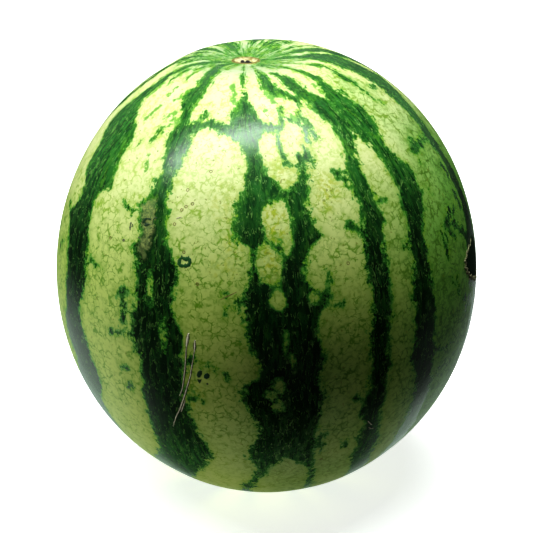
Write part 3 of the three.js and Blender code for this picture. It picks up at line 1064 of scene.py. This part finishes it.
def skin_frame(turn, rise):
    """Points of the skin in mm and the outward way there, for arrays of degrees."""
    polar, around = np.radians(90 - np.asarray(rise, float)), np.radians(np.asarray(turn, float))
    places = skin_points(polar, around)
    down = skin_points(polar + FRAME_STEP, around) - places
    sideways = skin_points(polar, around + FRAME_STEP) - places
    outward = np.cross(down, sideways)
    return places, outward / np.linalg.norm(outward, axis=-1, keepdims=True)


def flat_cord(path, half_width, height, ring=False, uneven=0.0):
    """Points and faces of a closed cord along (turn, rise) places, tapered at both ends."""
    path = np.array(path + path[:1] if ring else path, float)
    places, _ = skin_frame(path[:, 0], path[:, 1])
    lengths = np.linalg.norm(np.diff(places, axis=0), axis=1)
    along = np.concatenate([[0], np.cumsum(lengths)])
    count = max(FEWEST_POINTS, int(along[-1] / CORD_STEP) + 1)
    at = np.linspace(0, along[-1], count + 1)[:-1] if ring else np.linspace(0, along[-1], count)
    turn, rise = np.interp(at, along, path[:, 0]), np.interp(at, along, path[:, 1])
    centres, outward = skin_frame(turn, rise)
    ahead = np.roll(centres, -1, 0) - np.roll(centres, 1, 0) if ring else np.gradient(centres, axis=0)
    ahead /= np.linalg.norm(ahead, axis=1, keepdims=True)
    side = np.cross(outward, ahead)
    share = np.full(count, 1.0)
    if not ring:
        taper = BLUNT_END + (1 - 2 * BLUNT_END) * np.linspace(0, 1, count)
        share = np.sin(np.pi * taper) ** 0.5
    share = share * (1 + uneven * chance.uniform(-1, 1, count))
    points, faces = [], []
    for angle in 2 * np.pi * np.arange(CORD_SIDES) / CORD_SIDES:
        across = side * (np.cos(angle) * half_width * share)[:, None]
        points.append(centres + across + outward * (np.sin(angle) * height * share)[:, None])
    points = np.stack(points, 1).reshape(-1, 3)
    for ring_number in range(count if ring else count - 1):
        following = (ring_number + 1) % count
        for side_number in range(CORD_SIDES):
            beside = (side_number + 1) % CORD_SIDES
            here, there = ring_number * CORD_SIDES, following * CORD_SIDES
            faces.append((here + side_number, here + beside, there + beside, there + side_number))
    if not ring:
        faces.append(tuple(range(CORD_SIDES))[::-1])
        faces.append(tuple((count - 1) * CORD_SIDES + number for number in range(CORD_SIDES)))
    return points, faces


print("cords are", CORD_SIDES, "sided")

# %% A flat patch on the skin
RIM_SCALES = [0.30, 0.55, 0.80, 1.0]
RIM_THICKNESS = 0.02


def flat_patch(outline, height):
    """Points and faces of a closed thin lens inside an outline of (turn, rise) places."""
    outline = np.array(outline, float)
    corners = len(outline)
    middle = outline.mean(0)
    rims = [middle + scale * (outline - middle) for scale in RIM_SCALES]
    points, faces = [], []
    for way in (1, -1):
        start = len(points)
        centre, outward = skin_frame(middle[0], middle[1])
        points.append(centre + way * height * outward)
        for scale, rim in zip(RIM_SCALES, rims):
            places, outwards = skin_frame(rim[:, 0], rim[:, 1])
            rise_of_lens = height * math.sqrt(1 + RIM_THICKNESS - scale**2)
            points.extend(places + way * rise_of_lens * outwards)
        for corner in range(corners):
            beside = (corner + 1) % corners
            triangle = (start, start + 1 + corner, start + 1 + beside)
            faces.append(triangle if way > 0 else triangle[::-1])
            for rim_number in range(len(RIM_SCALES) - 1):
                inner = start + 1 + rim_number * corners
                outer = inner + corners
                face = (inner + corner, outer + corner, outer + beside, inner + beside)
                faces.append(face if way > 0 else face[::-1])
    top_rim = 1 + (len(RIM_SCALES) - 1) * corners
    low_rim = len(points) // 2 + top_rim
    for corner in range(corners):
        beside = (corner + 1) % corners
        faces.append((top_rim + corner, low_rim + corner, low_rim + beside, top_rim + beside))
    return np.array(points), faces


def oval_path(turn, rise, half_width, half_height, start=0, end=360, count=14):
    """Places on an oval round a middle, half sizes in degrees of rise, from start to end angle."""
    angles = np.radians(np.linspace(start, end, count, endpoint=end - start < 360))
    squeeze = math.cos(math.radians(rise))
    across, up = half_width / squeeze * np.cos(angles), half_height * np.sin(angles)
    return list(zip(turn + across, rise + up))


print("patches have", len(RIM_SCALES), "rims on each side")


# %% Matt finishes for the marks
def matt(name, rough, colour, second):
    """A dull finish that is mottled finely between two colours."""
    finish = bpy.data.materials.new(name)
    finish.use_nodes = True
    net = finish.node_tree
    face = net.nodes["Principled BSDF"]
    place = net.nodes.new("ShaderNodeTexCoord").outputs["Object"]
    share = ramp(net, grain(net, place, 900, 3.0, 0.65), -0.12, 0.12)
    feed(net, face.inputs["Base Color"], lay_over(net, share, colour, second))
    face.inputs["Roughness"].default_value = rough
    return finish


def lay_marks(name, marks, finish):
    """One piece from many cords and patches, in its place on the fruit."""
    points, faces = [], []
    for mark_points, mark_faces in marks:
        faces += [tuple(number + len(points) for number in face) for face in mark_faces]
        points += (mark_points * MILLIMETRE).tolist()
    mesh = bpy.data.meshes.new(name)
    mesh.from_pydata(points, [], faces)
    mesh.polygons.foreach_set("use_smooth", [True] * len(faces))
    mesh.materials.append(finish)
    piece = bpy.data.objects.new(name, mesh)
    bpy.context.collection.objects.link(piece)
    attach(piece, "root")
    print(name, len(faces), "faces")


print("finishes for marks are mottled between two colours")

# %% [markdown]
# ## The long scratches
# Something hard scraped the young skin, and it healed as pale raised lines with a dark border.
# A bump in the finish would have no edge of its own. A narrow pale cord is laid over a wider,
# lower dark one along the same path, and both taper at their ends.

# %% Lay the long scratches
SCRATCHES = [
    ([(-20.9, 1.2), (-21.2, -0.3), (-21.4, -2.1), (-22.0, -6.0), (-22.8, -9.5),
      (-23.4, -11.7), (-24.4, -13.8)], 0.30),
    ([(-18.7, 2.3), (-18.8, 0.6), (-19.0, -0.8)], 0.46),
    ([(-19.0, -0.6), (-19.8, -4.1), (-20.6, -7.4), (-22.0, -11.2), (-23.3, -14.4), (-25.1, -18.2),
      (-26.8, -21.0), (-28.7, -24.8)], 0.30),
    ([(-23.0, -15.0), (-23.6, -16.5), (-24.8, -19.0)], 0.28),
    ([(-20.3, 4.0), (-20.7, 2.4), (-21.1, 0.4)], 0.72),
    ([(30.2, -24.7), (31, -25.5), (32.2, -26.6)], 0.30),
    ([(31.3, -27.1), (32.2, -27.8), (33.5, -28.1)], 0.30),
    ([(-25.2, 31.9), (-24.3, 32.1), (-23.4, 32.2)], 0.22),
]
PALE_HEIGHT = 0.24
BORDER_WIDTH = 0.34
BORDER_HEIGHT = 0.08
BORDERED = 7
pale_cords = [flat_cord(path, width, PALE_HEIGHT, uneven=0.15) for path, width in SCRATCHES]
dark_cords = []
for path, width in SCRATCHES[:BORDERED]:
    dark_cords.append(flat_cord(path, width + BORDER_WIDTH, BORDER_HEIGHT, uneven=0.25))
pale_scrape = matt("scratch_skin", 0.6, (0.82, 0.78, 0.58, 1), (0.55, 0.50, 0.34, 1))
dark_scrape = matt("scratch_edge", 0.6, (0.020, 0.030, 0.008, 1), (0.07, 0.06, 0.02, 1))
lay_marks("scratch_skins", pale_cords, pale_scrape)
lay_marks("scratch_edges", dark_cords, dark_scrape)

# %% [markdown]
# ## Rings, specks and a blot
# Tiny brown rings, dark and grey specks and one hollow green blot lie scattered over the left
# and the front. Seeded dots would fall in the wrong places, so each is set one by one: a ring is a
# closed cord, a round speck a patch, and a hooked one a short cord with an uneven edge.

# %% Lay the brown rings and the brown line
BROWN_RINGS = [
    (-22.6, 39.1), (-23.7, 34.0), (-22.4, 34.9), (-20.3, 35.7), (-21.8, 23.8), (-17.6, 16.3),
    (18, -37), (-25.5, 30.4), (24, 18), (-48, 24), (-15, 44),
]
RING_SIZE = (0.38, 0.36)
RING_WIDTH = 0.20
RING_HEIGHT = 0.12
BROWN_LINE = [(-11.4, 12.7), (-9.3, 13.6), (-6.8, 14.6)]
ring_cords = []
for turn, rise in BROWN_RINGS:
    ring_path = oval_path(turn, rise, *RING_SIZE)
    ring_cords.append(flat_cord(ring_path, RING_WIDTH, RING_HEIGHT, ring=True))
ring_cords.append(flat_cord(BROWN_LINE, 0.26, RING_HEIGHT, uneven=0.2))
ring_brown = matt("ring_brown", 0.6, (0.14, 0.11, 0.025, 1), (0.22, 0.16, 0.04, 1))
lay_marks("brown_rings", ring_cords, ring_brown)

# %% Lay the dark and the grey specks
SPECK_OUTLINES = [
    [(-18.5, -6.2), (-17.9, -5.7), (-17.3, -5.8), (-17.3, -6.6), (-17.9, -7.7), (-18.6, -7.9),
     (-18.9, -7.2)],
    [(-16.5, -6.6), (-15.8, -6.3), (-15.2, -6.8), (-15.4, -7.6), (-16.2, -8.1), (-16.9, -7.8),
     (-16.9, -7.1)],
    [(-18.9, -8.2), (-18.1, -8.3), (-17.5, -8.1), (-17.8, -8.9), (-18.2, -9.5), (-18.6, -9.1)],
]
dark_marks = [flat_patch(outline, 0.12) for outline in SPECK_OUTLINES]
dark_marks += [
    flat_patch(oval_path(-16.1, -9.4, 0.34, 0.3, count=8), 0.1),
    flat_cord(oval_path(-34.7, 30.2, 1.15, 0.72, 30, 320), 0.52, 0.18, uneven=0.35),
    flat_cord([(-36.4, 29.4), (-36.1, 30.3), (-35.3, 30.9)], 0.85, 0.18, uneven=0.2),
    flat_cord([(-35.9, 29.2), (-34.8, 29.2), (-34.0, 29.5)], 0.62, 0.18, uneven=0.2),
    flat_cord([(-33.1, 30.6), (-32.5, 31.3), (-31.7, 31.5)], 0.42, 0.14),
]
speck_black = matt("speck_black", 0.5, (0.010, 0.042, 0.013, 1), (0.010, 0.042, 0.013, 1))
lay_marks("dark_specks", dark_marks, speck_black)
grey_marks = [
    flat_cord([(-40.9, 29.3), (-40.9, 28.1), (-40.6, 27.2)], 0.75, 0.10, uneven=0.4),
    flat_cord([(-40.1, 28.9), (-40.2, 28.0)], 0.6, 0.10, uneven=0.3),
    flat_patch(oval_path(-42.4, 24.4, 0.5, 0.4, count=8), 0.1),
    flat_patch(oval_path(-36.9, 25.9, 0.3, 0.25, count=8), 0.1),
]
speck_grey = matt("speck_grey", 0.6, (0.15, 0.18, 0.07, 1), (0.07, 0.10, 0.04, 1))
lay_marks("grey_specks", grey_marks, speck_grey)

# %% Lay the hollow green blot
BLOT = [
    (-23.0, 21.6), (-22.6, 22.3), (-21.8, 22.3), (-21.2, 22.1), (-20.4, 22.4), (-19.9, 21.9),
    (-19.9, 21.1), (-20.5, 20.6), (-21.4, 20.5), (-22.4, 20.4), (-23.0, 20.8),
]
BLOT_HORNS = [
    ([(-22.9, 20.9), (-23.7, 20.8)], 0.5), ([(-22.2, 22.2), (-22.4, 23.0)], 0.6),
    ([(-20.4, 22.3), (-20.2, 23.0)], 0.5),
]
blot_cords = [flat_cord(BLOT, 1.0, 0.10, ring=True, uneven=0.4)]
blot_cords += [flat_cord(path, width, 0.08) for path, width in BLOT_HORNS]
blot_green = matt("blot_green", 0.5, (0.006, 0.060, 0.012, 1), (0.014, 0.10, 0.016, 1))
lay_marks("green_blot", blot_cords, blot_green)

# %% [markdown]
# ## The dead place and its crust
# At the far right a patch of skin died, turned nearly black and was walled off by a rim of cork
# lumps. It could be a hole cut in the skin, but it is shallow and dry. A thin dark patch with
# hardly any gloss stands for it; its black is partly the dead skin's own colour and partly painted
# shade of the shallow hollow. An uneven cord with small lumps makes the crust.

# %% Lay the dead place and its crust
CRUST = [
    (77.2, 8.9), (75.2, 7.8), (73.4, 8.3), (72.0, 7.5), (70.6, 7.6), (69.9, 6.7), (68.4, 6.4),
    (69.0, 5.4), (67.9, 4.8), (69.3, 4.0), (68.9, 3.1), (70.6, 2.6), (70.9, 1.5), (72.8, 1.2),
    (73.6, 0.0), (75.4, -0.1), (76.8, -1.3), (78.6, -1.1), (80.0, -1.6), (81.6, -0.4),
]
DARK_PLACE = [
    (77.5, 9.0), (75.2, 8.0), (72.6, 7.8), (70.4, 6.9), (69.0, 5.6), (69.2, 4.2), (70.3, 2.8),
    (72.6, 1.1), (75.0, -0.4), (77.4, -1.3), (79.8, -1.0), (81.4, 0.6), (81.6, 3.4), (82.6, 5.6),
    (81.6, 7.8), (79.4, 9.2),
]
DEAD_GLOSS = 0.05
# Partly painted shade: the patch's near-black stands for the hollow's shade as well as the dead skin's
# colour.
dead_skin_and_shade = matt("dead_skin_and_shade", 0.9, (0.004, 0.011, 0.005, 1), (0.012, 0.028, 0.010, 1))
dead_surface = dead_skin_and_shade.node_tree.nodes["Principled BSDF"]
dead_surface.inputs["Specular IOR Level"].default_value = DEAD_GLOSS
lay_marks("dead_place_and_shade", [flat_patch(DARK_PLACE, 0.25)], dead_skin_and_shade)

crust_cords = [flat_cord(CRUST, 0.85, 0.6, uneven=0.4)]
for turn, rise in CRUST[1:-1]:
    lump_start = (turn - chance.uniform(0.2, 0.8), rise + chance.uniform(-0.4, 0.4))
    lump = [lump_start, (turn + 0.7, rise)]
    crust_cords.append(flat_cord(lump, chance.uniform(0.4, 0.8), 0.5, uneven=0.3))
crust_cork = matt("crust_cork", 0.85, (0.11, 0.115, 0.05, 1), (0.29, 0.28, 0.15, 1))
lay_marks("side_scar_crust", crust_cords, crust_cork)

# %% [markdown]
# ## The floor
# The fruit stands on white paper that curves up into a wall far away, as a flat plane would end
# in a hard line. The paper glows a little by itself, which keeps it white. It throws no light up
# and isn't mirrored in the wax, so the lower part of the fruit stays rich and dark. It holds back
# no light either, so lamps may stand below it.

# %% Build the pale floor
FLOOR_RADIUS = 6.0
WALL_BEND = 2.0
WALL_HEIGHT = 5.0
SIDES = 96


def floor_profile():
    """Distance from the fruit and height, from the middle of the floor to the top of the wall."""
    bend = [math.radians(angle) for angle in range(0, 91, 6)]
    curve = [(FLOOR_RADIUS + WALL_BEND * math.sin(a), WALL_BEND * (1 - math.cos(a))) for a in bend]
    return [(0.5, 0.0), (1.5, 0.0), (3.0, 0.0), *curve, (FLOOR_RADIUS + WALL_BEND, WALL_HEIGHT)]


def build_floor():
    points = [(0, 0, 0)]
    faces = []
    profile = floor_profile()
    for radius, height in profile:
        for side in range(SIDES):
            angle = 2 * math.pi * side / SIDES
            points.append((radius * math.cos(angle), radius * math.sin(angle), height))
    for side in range(SIDES):
        following = (side + 1) % SIDES
        faces.append((0, 1 + side, 1 + following))
        for ring in range(len(profile) - 1):
            inner, outer = 1 + ring * SIDES, 1 + (ring + 1) * SIDES
            faces.append((inner + side, outer + side, outer + following, inner + following))
    mesh = bpy.data.meshes.new("floor")
    mesh.from_pydata(points, [], faces)
    mesh.polygons.foreach_set("use_smooth", [True] * len(faces))
    floor = bpy.data.objects.new("floor", mesh)
    bpy.context.collection.objects.link(floor)
    return floor


floor = build_floor()
print("floor reaches", FLOOR_RADIUS + WALL_BEND, "m")

# %% Give the floor its paper
paper = bpy.data.materials.new("pale_paper")
paper.use_nodes = True
paper_surface = paper.node_tree.nodes["Principled BSDF"]
paper_surface.inputs["Base Color"].default_value = (0.86, 0.86, 0.86, 1)
paper_surface.inputs["Roughness"].default_value = 0.9
paper_surface.inputs["Specular IOR Level"].default_value = 0.1
paper_surface.inputs["Emission Color"].default_value = (1, 1, 1, 1)
paper_surface.inputs["Emission Strength"].default_value = 0.8
floor.data.materials.append(paper)
floor.visible_diffuse = False
floor.visible_glossy = False
floor.visible_shadow = False
floor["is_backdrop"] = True
print("the floor is paper that glows by itself")

# %% [markdown]
# ## The lights
# The wax mirrors every lamp, and several bright spots would make the fruit look like glass. Only
# the main soft box is seen in the wax, as one soft streak below the crown. It is long and narrow
# and hangs level, above the fruit and to its left. Four weaker ones fill in without a
# reflection: one above and behind, one low at the left, one straight below, and one below the
# front.

# %% Hang the soft boxes
fruit_centre = Vector((0, 0, foot_depth * MILLIMETRE))


def soft_box(name, turn, rise, distance, width, height, watts):
    """A rectangular lamp that faces the fruit from a given turn and rise, in degrees."""
    lamp = bpy.data.lights.new(name, "AREA")
    lamp.shape = "RECTANGLE"
    lamp.size, lamp.size_y = width, height
    lamp.energy = watts
    holder = bpy.data.objects.new(name, lamp)
    around, up = math.radians(turn), math.radians(rise)
    way = Vector((math.sin(around) * math.cos(up), -math.cos(around) * math.cos(up), math.sin(up)))
    holder.location = fruit_centre + distance * way
    holder.rotation_euler = (-way).to_track_quat("-Z", "Y").to_euler()
    bpy.context.collection.objects.link(holder)
    return holder


key = soft_box("top_soft_box", -58, 71, 1.30, 1.9, 0.13, 25)
key.data.color = (0.93, 1.0, 0.98)
key.rotation_euler = (0.0, 0.0, 0.0)
FILLS = {
    "top_fill": (140, 86, 1.5, 0.7, 0.7, 18),
    "left_soft_box": (-86, -14, 1.4, 0.8, 0.7, 11),
    "floor_glow": (0, -90, 1.2, 1.0, 1.0, 5.8),
    "front_fill": (30, -62, 1.4, 1.0, 0.6, 0.9),
}
for name, (turn, rise, distance, width, height, watts) in FILLS.items():
    fill = soft_box(name, turn, rise, distance, width, height, watts)
    fill.visible_glossy = False
print("lights:", key.name, *FILLS)

# %% [markdown]
# ## What the wax mirrors
# Near its outline the fruit mirrors its surroundings as a pale grey-green veil. An even sky would
# veil all of it. The world is bright only below the horizon and towards the back, dark straight
# below, where the fruit's own shadow lies, and dim far to the right. A little light from behind
# and above is added.

# %% Build the surroundings
world = bpy.data.worlds.new("studio")
world.use_nodes = True
sky = world.node_tree
direction = sky.nodes.new("ShaderNodeTexCoord").outputs["Generated"]
parts = sky.nodes.new("ShaderNodeSeparateXYZ")
feed(sky, parts.inputs[0], direction)
right, back, up = parts.outputs

below_horizon = ramp(sky, up, -0.25, -0.50)
away_from_foot = plus(sky, times(sky, reckon(sky, "ABSOLUTE", right), 0.35), up)
outside_shadow = ramp(sky, away_from_foot, -0.75, -0.45, 0.04, 1.0)
not_far_right = ramp(sky, right, 0.64, 0.44, 0.10, 1.0)
farther_back = ramp(sky, back, -0.3, 0.4, 0.03, 1.0)
from_floor = times(sky, below_horizon, outside_shadow, not_far_right, farther_back)
from_behind = ramp(sky, back, 0.3, 0.95, 0.02, 0.20)
above_horizon = ramp(sky, up, -0.3, 0.1)
strength = plus(sky, from_floor, times(sky, from_behind, above_horizon))
background = sky.nodes["Background"]
background.inputs["Color"].default_value = (0.80, 1.0, 0.86, 1)
feed(sky, background.inputs["Strength"], strength)
bpy.context.scene.world = world
bpy.context.scene.view_settings.view_transform = "Standard"
bpy.context.scene.view_settings.gamma = 0.86
print(f"{len(sky.nodes)} nodes in the surroundings")

# %% [markdown]
# ## The camera
# A short lens close by would make the crown bulge towards us. A long lens from farther off, a
# little above the fruit, keeps its outline almost free of perspective.

# %% Place the camera
CAMERA_RISE = 22.0
CAMERA_DISTANCE = 1.75
LENS_MM = 198.0
SENSOR_MM = 36.0

camera_data = bpy.data.cameras.new("camera")
camera_data.lens = LENS_MM
camera_data.sensor_width = SENSOR_MM
camera = bpy.data.objects.new("camera", camera_data)
camera_rise = math.radians(CAMERA_RISE)
camera_way = Vector((0, -math.cos(camera_rise), math.sin(camera_rise)))
camera.location = fruit_centre + CAMERA_DISTANCE * camera_way
camera.rotation_euler = (math.pi / 2 - camera_rise, 0, 0)
bpy.context.collection.objects.link(camera)
bpy.context.scene.camera = camera
print("camera at", [round(value, 3) for value in camera.location])

# %% [markdown]
# ## Sizes and the end
# The dressed fruit should measure what the solid measures. Its box is printed here, in millimetres.

# %% Print the size of the dressed fruit
visual_low, visual_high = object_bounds()
dressed_size = [round(1000 * (high - low), 1) for low, high in zip(visual_low, visual_high)]
print("dressed fruit measures, mm:", dressed_size)
